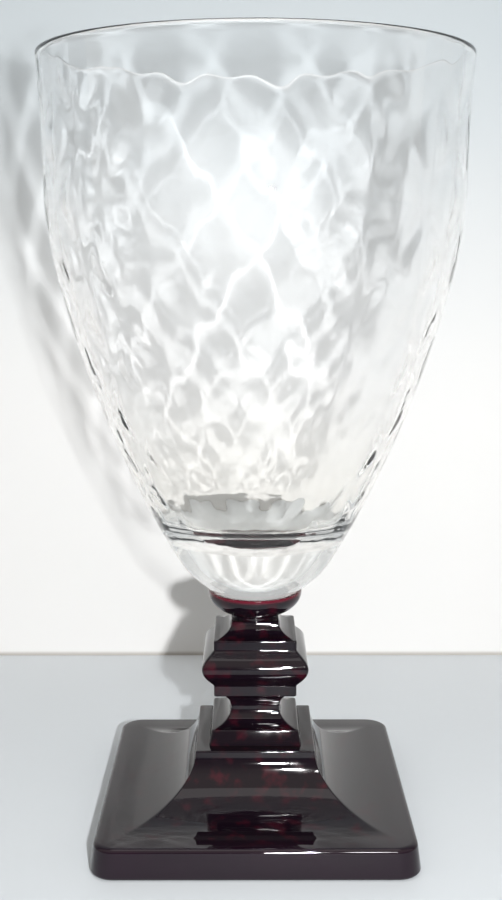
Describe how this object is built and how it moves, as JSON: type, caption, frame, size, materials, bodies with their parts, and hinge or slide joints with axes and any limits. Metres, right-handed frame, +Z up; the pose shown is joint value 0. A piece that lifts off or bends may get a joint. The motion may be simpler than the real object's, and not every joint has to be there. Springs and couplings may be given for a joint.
{
  "type": "water goblet",
  "caption": "Water goblet with a clear diamond-optic bowl on a black glass button, moulded square stem and square coved foot.",
  "frame": {"origin": "middle of the foot's underside, on the table", "axes": "+Z up along the stem's axis, X and Y along the sides of the square foot, -Y towards the picture's camera"},
  "size_m": [0.0858, 0.0858, 0.1583],
  "materials": {
    "black_glass": "fire-polished black amethyst glass, near black, purple-red where thin",
    "clear_glass": "clear colourless blown glass, smooth outside, diamond optic ridges inside, fire-polished rim"
  },
  "bodies": {
    "root": {"foot": "black_glass", "stem": "black_glass", "button": "black_glass", "bowl": "clear_glass"}
  },
  "joints": []
}
